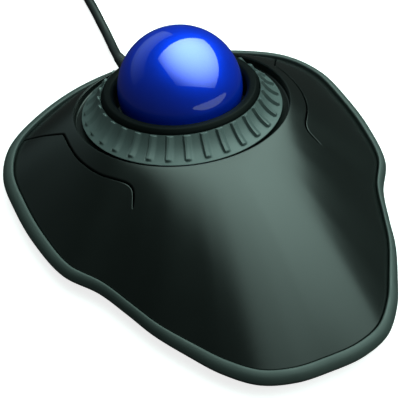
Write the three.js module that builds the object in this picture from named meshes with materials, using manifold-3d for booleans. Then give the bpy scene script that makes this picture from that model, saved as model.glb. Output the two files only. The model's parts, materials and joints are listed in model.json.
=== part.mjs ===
// A desktop trackball mouse with a scroll ring round its ball, in millimetres, +Z up.
// +Y points to the cable end, the palm rests at -Y, and +X is the user's right.
// The origin is on the desk, under the middle of the housing.
import * as THREE from 'three';
import { mergeVertices } from 'three/addons/utils/BufferGeometryUtils.js';
import Module from 'manifold-3d';

const wasm = await Module();
wasm.setup();

// ---------------------------------------------------------------- driving dimensions

// Right half of the housing's widest outline, from the cable end to the palm end: [x, y].
const OUTLINE = [
  [0, 71], [20, 68.7], [38.2, 61.7], [51.3, 52.7], [58.3, 40.8], [60.2, 26], [60, 11], [57.1, -4.4],
  [50.1, -15.2], [45.7, -26.4], [42, -36.8], [36, -48.4], [30.1, -58.2], [21.8, -66.7], [11.4, -70.6],
  [0, -71.3],
];
const AROUND = 60;            // steps around the housing
const UNDERSIDE = 1.0;        // the tray's bottom, above the desk on its feet
const FLOOR = 3.0;            // top of the tray's floor
const WIDEST = 6.2;           // height of the widest outline
const RIM_TOP = 9.5;
const SKIN_FOOT = 7.6;        // height of the cover's lower edge, inside the rim
const RIM_EDGE = 8.6;         // height of the rim's inner edge, where the cover meets it
const GAP = 0.35;             // gap between neighbouring pieces
const SEAM = 0.5;             // gap round the buttons

const BALL = { radius: 20, y: 32.5, z: 31.1 };
const TILT = THREE.MathUtils.degToRad(13.5);   // the ring's axis leans to the cable end

// Radii and heights below are measured from the ball's centre, along the tilted ring axis.
const RING = { top: 25.7, topH: -1.2, bottom: 32.8, bottomH: -8.2, skirtH: -9.2, hub: 24.7, ribs: 31 };
const COLLAR = { inner: 21.3, outer: 24.3, lip: 25.3 };
const CUP = { inner: 20.6, outer: 22.2, flange: 27.6, flangeTop: -9.6, flangeBottom: -11.6 };
const ENCODER = { inner: 29.0, outer: 29.8, top: -8.5, bottom: -13.4, slots: 16 };
const MOAT = { wall: 34.8, lipH: -6.4, floorH: -9.9, ledge: 30.7, ledgeBottom: -11.1 };
const SENSOR_TILT = THREE.MathUtils.degToRad(50);   // sensor axis, from straight down to the user

const COVER = 2.2;            // thickness of the cover
const BOARD = { bottom: 6.0, top: 7.6 };
const SWITCH = { x: 41, y: 22, length: 12.8, width: 5.8, height: 6.5 };
const HINGE = { inner: [32.6, -2.2], outer: [60, -12.8] };   // line that each button flexes at
const CUP_LEG = { radius: 24.2, angles: [30, 150, 210, 330] };
const COVER_SCREWS = [[35.5, 52.5], [-35.5, 52.5], [24, -44], [-24, -44]];
const BOARD_SCREWS = [[46, 35], [-46, 35], [46, 9], [-46, 9]];
const FEET = { rear_left: [-43, 38], rear_right: [43, 38], front_left: [-16, -53], front_right: [16, -53] };

const CABLE = 3.2;            // cable diameter
const EXIT = { z: 5.5, y: 79.5, endZ: 3.9 };   // cable exit: its height at the wall, and the boot's end
const COIL = { x: 27.4, y: 138, radius: 18, width: 13.4, bottom: 0.5, top: 13.3 };
const TIE = { angle: 270, inner: 10.9, outer: 24.85, width: 4, thickness: 0.4 };
const CABLE_ROUTE = [         // uncoiled stretch from the boot to the coil: [x, y, z]
  [0.1, 80.1, 3.8], [0.5, 83, 3.15], [1.3, 88, 2.3], [2.1, 93.5, 1.85], [2.75, 100, 1.7],
  [3.4, 107, 1.7], [3.9, 115, 1.7], [4.1, 124.4, 1.75],
];
const TAIL_ROUTE = [          // over the top of the coil to the plug
  [7.8, 150, 15.3], [10.8, 153.9, 15.6], [15.4, 156.7, 16.3], [20.8, 157.5, 17.1],
  [25.8, 156.7, 17.6], [29.6, 154.9, 17.7],
];
// The plug lies on the coil: its back, its heading and its overmould.
const PLUG = { x: 30, y: 154.7, heading: -30, length: 20, width: 15.5, height: 8 };

// ---------------------------------------------------------------- materials

const material = (color, roughness, metalness = 0) =>
  new THREE.MeshStandardMaterial({ color, roughness, metalness });
const BLACK = material(0x14181a, 0.35);
const GREY_GREEN = material(0x4d5a56, 0.6);
const BLUE = material(0x0b2fd0, 0.12);
const DARK = material(0x1b1d1f, 0.5);
const RUBBER = material(0x202223, 0.9);
const STEEL = material(0xb9bcc0, 0.3, 1);
const BOARD_GREEN = material(0x1d5a33, 0.5);
const WHITE = material(0xe8e6df, 0.5);
const CLEAR = material(0xcfe4ea, 0.1);
const CABLE_BLACK = material(0x101213, 0.55);

// ---------------------------------------------------------------- solid helpers

const model = new THREE.Group();
const ringFrame = new THREE.Group();       // origin at the ball's centre, +Z along the ring's axis
ringFrame.position.set(0, BALL.y, BALL.z);
ringFrame.rotation.x = -TILT;
ringFrame.updateMatrix();
model.add(ringFrame);

function solid(geometry, matrix) {
  const bare = geometry.clone();
  bare.deleteAttribute('normal');
  bare.deleteAttribute('uv');
  if (matrix) bare.applyMatrix4(matrix);
  const merged = mergeVertices(bare, 1e-4);
  return new wasm.Manifold(new wasm.Mesh({
    numProp: 3,
    vertProperties: new Float32Array(merged.attributes.position.array),
    triVerts: new Uint32Array(merged.index.array),
  }));
}

function toGeometry(manifold) {
  const { vertProperties, triVerts } = manifold.getMesh();
  const geometry = new THREE.BufferGeometry();
  geometry.setAttribute('position', new THREE.BufferAttribute(vertProperties, 3));
  geometry.setIndex(new THREE.BufferAttribute(triVerts, 1));
  geometry.computeVertexNormals();
  return geometry;
}

function add(name, shape, look, parent = model) {
  const geometry = shape instanceof THREE.BufferGeometry ? shape : toGeometry(shape);
  const mesh = new THREE.Mesh(geometry, look);
  mesh.name = name;
  parent.add(mesh);
  return mesh;
}

const moved = (x, y, z) => new THREE.Matrix4().makeTranslation(x, y, z);
const box = (w, d, h, x, y, z) => solid(new THREE.BoxGeometry(w, d, h), moved(x, y, z));

// Upright cylinder between two heights.
function rod(radius, x, y, low, high, sides = 12) {
  const geometry = new THREE.CylinderGeometry(radius, radius, high - low, sides);
  geometry.rotateX(Math.PI / 2);
  return solid(geometry, moved(x, y, (low + high) / 2));
}

// Turned piece about +Z from a closed section of [radius, height] points.
function turned(section, segments = 48) {
  const points = section.map(([r, h]) => new THREE.Vector2(r, h));
  if (section[0][0] > 0) points.push(points[0].clone());
  const geometry = new THREE.LatheGeometry(points, segments);
  geometry.rotateX(Math.PI / 2);
  const piece = solid(geometry);
  return piece.volume() > 0 ? piece : solid(flipped(geometry));
}

function flipped(geometry) {
  const index = geometry.index.array;
  for (let i = 0; i < index.length; i += 3) [index[i], index[i + 1]] = [index[i + 1], index[i]];
  return geometry;
}

// Upright prism from a plan outline of [x, y] points.
function prism(points, low, high) {
  const shape = new THREE.Shape(points.map(([x, y]) => new THREE.Vector2(x, y)));
  const geometry = new THREE.ExtrudeGeometry(shape, { depth: high - low, bevelEnabled: false });
  return solid(geometry, moved(0, 0, low));
}

function roundedRect(width, depth, radius, x = 0, y = 0, steps = 4) {
  const points = [];
  for (const [sx, sy, start] of [[1, 1, 0], [-1, 1, 90], [-1, -1, 180], [1, -1, 270]]) {
    for (let i = 0; i <= steps; i++) {
      const angle = THREE.MathUtils.degToRad(start + (90 * i) / steps);
      points.push([
        x + sx * (width / 2 - radius) + radius * Math.cos(angle),
        y + sy * (depth / 2 - radius) + radius * Math.sin(angle),
      ]);
    }
  }
  return points;
}

// Closed solid from rows of points. Rows of one point are poles; without poles the rows close in a loop.
function loft(rows) {
  const positions = rows.flat().flatMap((p) => [p.x, p.y, p.z]);
  const starts = [];
  rows.reduce((sum, row) => { starts.push(sum); return sum + row.length; }, 0);
  const index = [];
  const poled = rows[0].length === 1;
  for (let i = 0; i < rows.length - (poled ? 1 : 0); i++) {
    const next = (i + 1) % rows.length;
    for (let k = 0; k < AROUND; k++) {
      const a = starts[i] + (rows[i].length === 1 ? 0 : k);
      const b = starts[i] + (rows[i].length === 1 ? 0 : (k + 1) % AROUND);
      const c = starts[next] + (rows[next].length === 1 ? 0 : k);
      const d = starts[next] + (rows[next].length === 1 ? 0 : (k + 1) % AROUND);
      if (a !== b) index.push(a, b, d);
      if (c !== d) index.push(a, d, c);
    }
  }
  const geometry = new THREE.BufferGeometry();
  geometry.setAttribute('position', new THREE.Float32BufferAttribute(positions, 3));
  geometry.setIndex(index);
  const piece = solid(geometry);
  return piece.volume() > 0 ? piece : solid(flipped(geometry));
}

// ---------------------------------------------------------------- housing outline

const mirrored = OUTLINE.slice(1, -1).reverse().map(([x, y]) => [-x, y]);
const outlineCurve = new THREE.CatmullRomCurve3(
  [...OUTLINE, ...mirrored].map(([x, y]) => new THREE.Vector3(x, y, 0)), true, 'centripetal');
const outline = outlineCurve.getSpacedPoints(AROUND).slice(0, AROUND);
const inward = outline.map((_, k) => {
  const before = outline[(k + AROUND - 1) % AROUND];
  const after = outline[(k + 1) % AROUND];
  return new THREE.Vector3(after.y - before.y, before.x - after.x, 0).normalize();
});

// Width of the rim at a place along the housing: narrow at the waist, wide at the wings and the palm.
function rimWidth(y) {
  return 3.45 - 1.25 * Math.exp(-(((y + 24) / 26) ** 2));
}

function inset(k, distance, z) {
  const point = outline[k].clone().addScaledVector(inward[k], distance);
  return point.setZ(z);
}

const row = (at) => outline.map((_, k) => at(k));
const centre = (z) => [new THREE.Vector3(0, 0, z)];

// ---------------------------------------------------------------- base shell

// The wall's outside is undercut below its widest line, and its inside slopes in to the floor with it.
const WALL_FOOT = 5.8;        // height where the inside starts to slope
const wallAt = (k, z) => rimWidth(outline[k].y) + (0.2 * (RIM_EDGE - z)) / (RIM_EDGE - WALL_FOOT);
let base = loft([
  centre(UNDERSIDE),
  row((k) => inset(k, 7, UNDERSIDE)),
  row((k) => inset(k, 4.8, UNDERSIDE + 0.5)),
  row((k) => inset(k, 2.2, UNDERSIDE + 2.8)),
  row((k) => inset(k, 0, WIDEST)),
  row((k) => inset(k, 0.1 * rimWidth(outline[k].y), WIDEST + 1.2)),
  row((k) => inset(k, 0.38 * rimWidth(outline[k].y), RIM_TOP - 0.8)),
  row((k) => inset(k, 0.72 * rimWidth(outline[k].y), RIM_TOP - 0.1)),
  row((k) => inset(k, 0.88 * rimWidth(outline[k].y), RIM_TOP)),
  row((k) => inset(k, rimWidth(outline[k].y), RIM_EDGE)),
  row((k) => inset(k, wallAt(k, WALL_FOOT), WALL_FOOT)),
  row((k) => inset(k, wallAt(k, WALL_FOOT) + 3, FLOOR)),
  centre(FLOOR),
]);

const legPlaces = CUP_LEG.angles.map((degrees) => {
  const angle = THREE.MathUtils.degToRad(degrees);
  return [CUP_LEG.radius * Math.cos(angle), BALL.y + CUP_LEG.radius * Math.sin(angle)];
});
const BOSS_TOP = 5.7;
for (const [x, y] of [...COVER_SCREWS, ...legPlaces]) {
  base = base.add(rod(3.4, x, y, FLOOR - 0.5, BOSS_TOP));
}
for (const [x, y] of [...COVER_SCREWS, ...legPlaces]) {
  base = base.subtract(rod(3.0, x, y, 0, 3.4)).subtract(rod(1.6, x, y, 0, BOSS_TOP + 1));
}
for (const [x, y] of BOARD_SCREWS) {
  base = base.add(rod(2.8, x, y, FLOOR - 0.5, BOARD.bottom - GAP));
  base = base.subtract(rod(1.4, x, y, FLOOR + 0.4, BOARD.bottom + 1));
}
for (const [x, y] of Object.values(FEET)) {
  base = base.subtract(prism(roundedRect(14.7, 7.7, 3.5, x, y), 0, UNDERSIDE + 0.6));
}
base = base.subtract(prism(roundedRect(44.7, 22.7, 2, 0, -12), 0, UNDERSIDE + 0.5));
const grommetHole = new THREE.CylinderGeometry(2.25, 2.25, 12, 12);
base = base.subtract(solid(grommetHole, moved(0, 69, EXIT.z)));
const headRoom = new THREE.CylinderGeometry(2.75, 2.75, 6, 12);
base = base.subtract(solid(headRoom, moved(0, 63.35, EXIT.z)));

add('base_shell', base, GREY_GREEN);

// ---------------------------------------------------------------- top cover and buttons

// Point of the tilted ring frame in the housing's frame.
function ringPoint(radius, angle, height) {
  const local = new THREE.Vector3(radius * Math.sin(angle), radius * Math.cos(angle), height);
  return local.applyMatrix4(ringFrame.matrix);
}

const edge = row((k) => inset(k, rimWidth(outline[k].y) + GAP, RIM_EDGE));
const bearing = edge.map((p) => Math.atan2(p.x, (p.y - BALL.y) / Math.cos(TILT)));
const rearness = bearing.map((angle) => Math.max(0, Math.cos(angle)) ** 2);

// Lip of the cover round the ring: it sits lower and closer at the cable end.
const lip = bearing.map((angle, k) =>
  ringPoint(MOAT.wall - 0.8 * rearness[k], angle, MOAT.lipH - 1.6 * rearness[k]));

// The cover falls away evenly from the lip to the rim, except along the crown of the palm rest,
// where it stays full before it drops.
const fullness = (angle) => 1.08 + 0.9 * Math.exp(-(((Math.PI - Math.abs(angle)) / 0.45) ** 1.3));

function skinPoint(k, t, below = 0) {
  const point = lip[k].clone().lerp(edge[k], t);
  point.z = lip[k].z - (lip[k].z - edge[k].z) * t ** fullness(bearing[k]) - below;
  return point;
}

const moatRow = (radius, height) => row((k) =>
  ringPoint(radius - 0.8 * rearness[k], bearing[k], height));
const skinSteps = [0, 0.12, 0.28, 0.46, 0.64, 0.82, 1];
const innerSteps = [0.9, 0.6, 0.35, 0.12];
let shell = loft([
  ...skinSteps.map((t) => row((k) => skinPoint(k, t))),
  row((k) => inset(k, wallAt(k, SKIN_FOOT) + GAP + 0.1, SKIN_FOOT)),
  row((k) => inset(k, wallAt(k, SKIN_FOOT) + GAP + 1.2, SKIN_FOOT)),
  ...innerSteps.map((t) => row((k) => {
    const point = skinPoint(k, t, COVER);
    return point.setZ(Math.max(point.z, SKIN_FOOT + 0.2));
  })),
  moatRow(MOAT.wall + 1.4, MOAT.ledgeBottom),
  row((k) => ringPoint(MOAT.ledge, bearing[k], MOAT.ledgeBottom)),
  row((k) => ringPoint(MOAT.ledge, bearing[k], MOAT.floorH)),
  moatRow(MOAT.wall - 0.1, MOAT.floorH),
]);

// Everything under the cover's skin, to trim bosses and posts to it.
const underSkin = loft([
  [ringPoint(0, 0, MOAT.lipH - 1)],
  ...skinSteps.map((t) => row((k) => skinPoint(k, t, 0.7))),
  row((k) => edge[k].clone().setZ(0)),
  centre(0),
]);
for (const [x, y] of COVER_SCREWS) {
  shell = shell.add(rod(3, x, y, BOSS_TOP + GAP, 34).intersect(underSkin));
  shell = shell.subtract(rod(1.6, x, y, 0, BOSS_TOP + 7));
}
for (const side of [-1, 1]) {
  const post = rod(2, side * SWITCH.x, SWITCH.y, BOARD.top + GAP + SWITCH.height + 1.15, 34);
  shell = shell.add(post.intersect(underSkin));
}

// Plan outline of the right button: along the seam round the ring, down the short slit beside the
// palm rest, out along the flexing line, and round outside the rim.
const seamCurve = new THREE.CatmullRomCurve3([
  [38.2, 38.4], [39.1, 31], [39.2, 25], [38.2, 19], [36.3, 13.4], [33.6, 8.8], [31.2, 5.2],
  [30.6, 2.6], [32.6, -2.2],
].map(([x, y]) => new THREE.Vector3(x, y, 0)), false, 'centripetal');
const buttonPlan = [
  [90, 62], [48.4, 54.4], [42.2, 45],
  ...seamCurve.getPoints(24).map((p) => [p.x, p.y]),
  HINGE.outer, [90, -12.8],
];

// Offset a plan outline outwards by a small distance.
function grown(points, distance) {
  const area = points.reduce((sum, [x, y], i) => {
    const [nx, ny] = points[(i + 1) % points.length];
    return sum + x * ny - nx * y;
  }, 0);
  const turn = Math.sign(area) * distance;
  return points.map(([x, y], i) => {
    const [px, py] = points[(i + points.length - 1) % points.length];
    const [nx, ny] = points[(i + 1) % points.length];
    const a = new THREE.Vector2(x - px, y - py).normalize();
    const b = new THREE.Vector2(nx - x, ny - y).normalize();
    const along = a.clone().add(b).normalize();
    const reach = turn / Math.max(0.4, along.dot(b));
    return [x + along.y * reach, y - along.x * reach];
  });
}

const mirrorPlan = (points) => points.map(([x, y]) => [-x, y]).reverse();
const buttonTool = prism(buttonPlan, 0, 60);
const mirrorTool = prism(mirrorPlan(buttonPlan), 0, 60);
const keepClear = grown(buttonPlan, SEAM);
const cover = shell.subtract(prism(keepClear, 0, 60)).subtract(prism(mirrorPlan(keepClear), 0, 60));
add('top_cover', cover, BLACK);
add('right_button', shell.intersect(buttonTool), BLACK);
add('left_button', shell.intersect(mirrorTool), BLACK);

// ---------------------------------------------------------------- ball, ring and cup

add('ball', new THREE.SphereGeometry(BALL.radius, 26, 16), BLUE, ringFrame);

// The band's outer face is slightly hollow between its top and bottom edges.
const bandFace = (t) => {
  const hollow = 0.7 * Math.sin(Math.PI * t);
  return [
    RING.top + (RING.bottom - RING.top) * t - hollow,
    RING.topH + (RING.bottomH - RING.topH) * t - hollow,
  ];
};
let ring = turned([
  ...[0, 0.5, 1].map(bandFace),
  [RING.bottom, RING.skirtH], [31.2, RING.skirtH], [30.4, -8.2], [26.3, -4.8],
  [26.3, RING.skirtH], [RING.hub, RING.skirtH], [RING.hub, -4.2], [RING.top - 0.05, -4.2],
], RING.ribs);
for (let i = 0; i < RING.ribs; i++) {
  const [topR, topH] = bandFace(0.14);
  const [lowR, lowH] = bandFace(0.84);
  const rib = new THREE.BoxGeometry(1.3, Math.hypot(lowR - topR, lowH - topH), 1.4);
  const place = new THREE.Matrix4().makeRotationZ((2 * Math.PI * (i + 0.5)) / RING.ribs);
  place.multiply(moved(0, (topR + lowR) / 2 - 0.35, (topH + lowH) / 2 - 0.35));
  place.multiply(new THREE.Matrix4().makeRotationX(Math.atan2(lowH - topH, lowR - topR)));
  ring = ring.add(solid(rib, place));
}
add('scroll_ring', ring, GREY_GREEN, ringFrame);

let encoder = turned([
  [ENCODER.inner, ENCODER.bottom], [ENCODER.outer, ENCODER.bottom],
  [ENCODER.outer, ENCODER.top], [ENCODER.inner, ENCODER.top],
], 32);
for (let i = 0; i < ENCODER.slots / 2; i++) {
  const slot = new THREE.BoxGeometry(4.6, 2 * ENCODER.outer + 2, 1.8);
  const place = moved(0, 0, -12).multiply(
    new THREE.Matrix4().makeRotationZ((2 * Math.PI * i) / ENCODER.slots));
  encoder = encoder.subtract(solid(slot, place));
}
add('encoder_wheel', encoder, DARK, ringFrame);

add('retaining_collar', turned([
  [COLLAR.inner, CUP.flangeTop + GAP], [COLLAR.outer, CUP.flangeTop + GAP], [COLLAR.outer, -3.9],
  [COLLAR.lip, -3.7], [COLLAR.lip, -1.0], [24.3, 0.4], [22.3, 0.4], [COLLAR.inner, -0.8],
], 40), BLACK, ringFrame);

const sphereArc = (radius, from, to, steps) => Array.from({ length: steps + 1 }, (_, i) => {
  const angle = THREE.MathUtils.degToRad(from + ((to - from) * i) / steps);
  return [radius * Math.sin(angle), -radius * Math.cos(angle)];
});
let cup = turned([
  ...sphereArc(CUP.inner, 14, THREE.MathUtils.radToDeg(Math.acos(-CUP.flangeTop / CUP.inner)), 6),
  [CUP.flange, CUP.flangeTop], [CUP.flange, CUP.flangeBottom],
  ...sphereArc(CUP.outer, THREE.MathUtils.radToDeg(Math.acos(-CUP.flangeBottom / CUP.outer)), 14, 5),
], 32);

// Legs stand upright on the base, so they lean in the tilted ring frame.
const toRing = ringFrame.matrix.clone().invert();
function uprightInRing(radius, x, y, low, high) {
  const geometry = new THREE.CylinderGeometry(radius, radius, high - low, 12);
  geometry.rotateX(Math.PI / 2);
  return solid(geometry, toRing.clone().multiply(moved(x, y, (low + high) / 2)));
}
for (const [x, y] of legPlaces) {
  const top = BALL.z - (y - BALL.y) * Math.tan(TILT) - 10.6 / Math.cos(TILT);
  cup = cup.add(uprightInRing(2.4, x, y, BOSS_TOP + GAP, top));
  cup = cup.subtract(uprightInRing(1.6, x, y, 0, BOSS_TOP + 6));
}

// Sensor frame: origin at the ball's centre, +Z pointing out along the sensor's axis.
const sensorFrame = new THREE.Group();
sensorFrame.position.set(0, BALL.y, BALL.z);
sensorFrame.rotation.x = Math.PI - SENSOR_TILT;
sensorFrame.updateMatrix();
model.add(sensorFrame);
const sensorInRing = toRing.clone().multiply(sensorFrame.matrix);
const inSensor = (radius, low, high) => {
  const geometry = new THREE.CylinderGeometry(radius, radius, high - low, 14);
  geometry.rotateX(Math.PI / 2);
  return solid(geometry, sensorInRing.clone().multiply(moved(0, 0, (low + high) / 2)));
};
cup = cup.add(inSensor(6.5, 20.9, 24)).subtract(inSensor(3.2, 15, 30));

const SUPPORT_RADIUS = 1.5;
const supportPlaces = [90, 210, 330].map((degrees) => {
  const around = THREE.MathUtils.degToRad(degrees);
  const down = THREE.MathUtils.degToRad(48);
  const reach = BALL.radius + 0.1 + SUPPORT_RADIUS;
  return new THREE.Vector3(
    reach * Math.sin(down) * Math.cos(around), reach * Math.sin(down) * Math.sin(around),
    -reach * Math.cos(down));
});
// Cylinder along the line from the ball's centre through a support, between two distances.
function radial(radius, place, low, high) {
  const geometry = new THREE.CylinderGeometry(radius, radius, high - low, 12);
  geometry.translate(0, (low + high) / 2, 0);
  const turn = new THREE.Quaternion().setFromUnitVectors(
    new THREE.Vector3(0, 1, 0), place.clone().normalize());
  return solid(geometry, new THREE.Matrix4().makeRotationFromQuaternion(turn));
}
for (const place of supportPlaces) {
  cup = cup.add(radial(2.5, place, 21.3, 24.1)).subtract(radial(SUPPORT_RADIUS + 0.15, place, 18, 23.4));
}
add('ball_cup', cup, DARK, ringFrame);
supportPlaces.forEach((place, i) => {
  const support = new THREE.SphereGeometry(SUPPORT_RADIUS, 10, 7);
  add(`support_ball_${i + 1}`, support, WHITE, ringFrame).position.copy(place);
});

// ---------------------------------------------------------------- ball sensor

const lens = turned([[0, 21.6], [2.8, 21.6], [2.8, 24.1], [0, 24.1]], 14);
add('sensor_lens', lens, CLEAR, sensorFrame);
add('sensor_chip', box(7, 7, 2.2, 0, 0, 25.6), DARK, sensorFrame);
let sensorBoard = solid(new THREE.BoxGeometry(18, 12, 1.2), moved(0, 0, 27.7));
for (const x of [-7, 7]) sensorBoard = sensorBoard.subtract(rod(1.2, x, 0, 26, 30));
add('sensor_board', sensorBoard, BOARD_GREEN, sensorFrame);
add('sensor_led', turned([[0, 24.9], [1, 24.9], [1, 26.7], [0, 26.7]], 10), CLEAR, sensorFrame)
  .position.y = -4.9;
[-7, 7].forEach((x, i) => {
  const screw = rod(1.9, x, 0, 28.6, 29.8, 10).add(rod(0.9, x, 0, 24.9, 28.8, 8));
  add(`sensor_screw_${i + 1}`, screw, STEEL, sensorFrame);
});

// ---------------------------------------------------------------- main board and its parts

const boardPlan = [[50, 4], [50, 38], [40, 42], [18, 60], [-18, 60], [-40, 42], [-50, 38], [-50, 4]];
let board = prism(boardPlan, BOARD.bottom, BOARD.top);
const cupWindow = rod(27.2, 0, BALL.y, 0, 20, 32).subtract(box(60, 30, 30, 0, 66, 10));
board = board.subtract(cupWindow);
for (const [x, y] of BOARD_SCREWS) board = board.subtract(rod(1.5, x, y, 0, 20));
add('main_board', board, BOARD_GREEN);

const onBoard = BOARD.top + GAP;
add('controller_chip', box(8, 8, 1.6, 34, 12, onBoard + 0.8), DARK);
add('capacitor', rod(2.5, -34, 12, onBoard, onBoard + 7), DARK);
add('cable_connector', box(10, 5, 2.2, 0, 55, BOARD.bottom - GAP - 1.1), WHITE);

// Fork that the encoder wheel turns through, on a foot that stands on the board.
const forkParts = [
  [10, 7, 1, 29.2, -14.4], [5, 1.3, 2.1, 27.1, -13.05], [5, 1.2, 2.1, 31.1, -13.05],
].map(([w, d, h, y, z]) => solid(new THREE.BoxGeometry(w, d, h), ringFrame.matrix.clone()
  .multiply(moved(0, y, z))));
const forkFoot = box(8, 4.4, 2.4, 0, 57.2, onBoard + 1.2);
add('ring_interrupter', forkParts[0].add(forkParts[1]).add(forkParts[2]).add(forkFoot), DARK);

for (const [name, side] of [['left', -1], ['right', 1]]) {
  const x = side * SWITCH.x;
  const top = onBoard + SWITCH.height;
  const body = box(SWITCH.width, SWITCH.length, SWITCH.height, x, SWITCH.y, top - SWITCH.height / 2);
  const pocket = box(2.2, 3.6, 3, x, SWITCH.y, top);
  add(`${name}_switch`, body.subtract(pocket), DARK);
  add(`${name}_switch_plunger`, box(1.6, 3, 1.6, x, SWITCH.y, top), WHITE);
}

// ---------------------------------------------------------------- screws, feet and label

function addScrews(name, places, headZ, headRadius, shankRadius, tipZ) {
  places.forEach(([x, y], i) => {
    const head = rod(headRadius, x, y, headZ - 0.8, headZ + 0.8, 10);
    const shank = rod(shankRadius, x, y, Math.min(headZ, tipZ), Math.max(headZ, tipZ), 8);
    add(`${name}_${i + 1}`, head.add(shank), STEEL);
  });
}
addScrews('cover_screw', COVER_SCREWS, 2.2, 2.6, 1.2, BOSS_TOP + 6);
addScrews('cup_screw', legPlaces, 2.2, 2.6, 1.2, BOSS_TOP + 5);
addScrews('board_screw', BOARD_SCREWS, BOARD.top + 1.15, 2.4, 1.05, FLOOR + 0.8);
for (const [name, [x, y]] of Object.entries(FEET)) {
  add(`foot_${name}`, prism(roundedRect(14, 7, 3.2, x, y), 0, UNDERSIDE + 0.25), RUBBER);
}
add('rating_label', prism(roundedRect(44, 22, 1.7, 0, -12), UNDERSIDE - 0.2, UNDERSIDE + 0.15), WHITE);

// ---------------------------------------------------------------- cable, coil and plug

const circle = (radius, sides) => new THREE.Shape(Array.from({ length: sides }, (_, i) =>
  new THREE.Vector2(radius * Math.cos((2 * Math.PI * i) / sides),
    radius * Math.sin((2 * Math.PI * i) / sides))));

function tube(route, radius, steps) {
  const path = new THREE.CatmullRomCurve3(
    route.map(([x, y, z]) => new THREE.Vector3(x, y, z)), false, 'centripetal');
  return new THREE.ExtrudeGeometry(circle(radius, 8), { steps, bevelEnabled: false, extrudePath: path });
}
add('cable', solid(tube(CABLE_ROUTE, CABLE / 2, 8)), CABLE_BLACK);
add('cable_tail', solid(tube(TAIL_ROUTE, CABLE / 2, 6)), CABLE_BLACK);
add('inner_cable', solid(tube([[0, 64, EXIT.z - 1], [0, 57.9, EXIT.z - 1]], 1, 1)), CABLE_BLACK);

// Boot: a flange inside the wall, a neck through it, and a taper that droops to the desk.
const bootStart = new THREE.CylinderGeometry(2.45, 2.45, 1, 14);
const bootNeck = new THREE.CylinderGeometry(1.9, 1.9, 8.4, 14);
const taper = new THREE.CylinderGeometry(1.85, 2.5, EXIT.y - 71.6, 14);
const droop = Math.atan2(EXIT.z - EXIT.endZ, EXIT.y - 72);
const taperPlace = moved(0, (72 + EXIT.y) / 2, (EXIT.z + EXIT.endZ) / 2)
  .multiply(new THREE.Matrix4().makeRotationX(-droop));
const boot = solid(bootStart, moved(0, 64.9, EXIT.z))
  .add(solid(bootNeck, moved(0, 69, EXIT.z)))
  .add(solid(taper, taperPlace));
add('cable_strain_relief', boot, RUBBER);

const half = COIL.width / 2;
const coil = turned([
  [COIL.radius - half + 2, COIL.bottom], [COIL.radius + half - 2, COIL.bottom],
  [COIL.radius + half, COIL.bottom + 2], [COIL.radius + half, COIL.top - 2],
  [COIL.radius + half - 2, COIL.top], [COIL.radius - half + 2, COIL.top],
  [COIL.radius - half, COIL.top - 2], [COIL.radius - half, COIL.bottom + 2],
], 26);
add('cable_coil', coil, CABLE_BLACK).position.set(COIL.x, COIL.y, 0);

// Band round the coil's section, close against it.
const tieHole = {
  width: TIE.outer - TIE.inner, height: COIL.top - COIL.bottom + 0.1,
  x: (TIE.outer + TIE.inner) / 2, z: (COIL.top + COIL.bottom) / 2,
};
const tie = box(tieHole.width + 2 * TIE.thickness, TIE.width, tieHole.height + 2 * TIE.thickness,
  tieHole.x, 0, tieHole.z)
  .subtract(box(tieHole.width, TIE.width + 1, tieHole.height, tieHole.x, 0, tieHole.z));
const tieMesh = add('coil_tie', tie, WHITE);
tieMesh.position.set(COIL.x, COIL.y, 0);
tieMesh.rotation.z = THREE.MathUtils.degToRad(TIE.angle);

const plugBody = solid(new THREE.ExtrudeGeometry(
  new THREE.Shape(roundedRect(PLUG.height, PLUG.width, 2).map(([x, y]) => new THREE.Vector2(x, y))),
  { depth: PLUG.length, bevelEnabled: false }),
new THREE.Matrix4().makeRotationY(Math.PI / 2));
const plug = new THREE.Group();
plug.position.set(PLUG.x, PLUG.y, COIL.top + GAP + PLUG.height / 2);
plug.rotation.z = THREE.MathUtils.degToRad(PLUG.heading);
model.add(plug);
add('usb_overmold', plugBody, RUBBER, plug);
const shellOuter = box(12, 12, 4.5, PLUG.length + 6 + GAP, 0, 0);
const shellInner = box(13, 11.2, 3.7, PLUG.length + 6.5 + GAP + 0.4, 0, 0);
add('usb_shell', shellOuter.subtract(shellInner), STEEL, plug);
add('usb_tongue', box(9.5, 10.4, 1.2, PLUG.length + 6.2, 0, -0.9), WHITE, plug);

export default model;
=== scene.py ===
"""Looks for a desktop trackball mouse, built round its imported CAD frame.

Everything is in metres in the part's own frame: +Z up, +Y towards the cable end, +X to the user's right.
Shapes are worked out in millimetres and scaled by MM when their meshes are made.
"""
import json
import math

import bmesh
import bpy
import numpy as np
from mathutils import Matrix, Vector
from mathutils.geometry import delaunay_2d_cdt


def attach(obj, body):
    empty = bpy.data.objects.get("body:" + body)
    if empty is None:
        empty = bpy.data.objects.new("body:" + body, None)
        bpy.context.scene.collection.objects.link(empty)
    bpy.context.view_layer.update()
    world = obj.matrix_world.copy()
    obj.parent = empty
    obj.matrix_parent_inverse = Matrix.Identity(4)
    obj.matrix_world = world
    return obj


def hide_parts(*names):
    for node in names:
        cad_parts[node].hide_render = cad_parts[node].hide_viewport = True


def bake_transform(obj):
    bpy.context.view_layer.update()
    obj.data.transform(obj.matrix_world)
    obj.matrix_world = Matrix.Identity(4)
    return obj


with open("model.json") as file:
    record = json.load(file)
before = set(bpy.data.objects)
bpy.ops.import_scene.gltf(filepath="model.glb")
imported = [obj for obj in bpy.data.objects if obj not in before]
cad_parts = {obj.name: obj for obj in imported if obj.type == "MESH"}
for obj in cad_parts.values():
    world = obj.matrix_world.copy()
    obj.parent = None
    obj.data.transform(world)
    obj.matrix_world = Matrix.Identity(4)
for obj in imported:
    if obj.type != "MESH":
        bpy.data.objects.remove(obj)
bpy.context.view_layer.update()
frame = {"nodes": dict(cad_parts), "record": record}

MM = 0.001

# ---------------------------------------------------------------- driving dimensions, in millimetres

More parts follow.
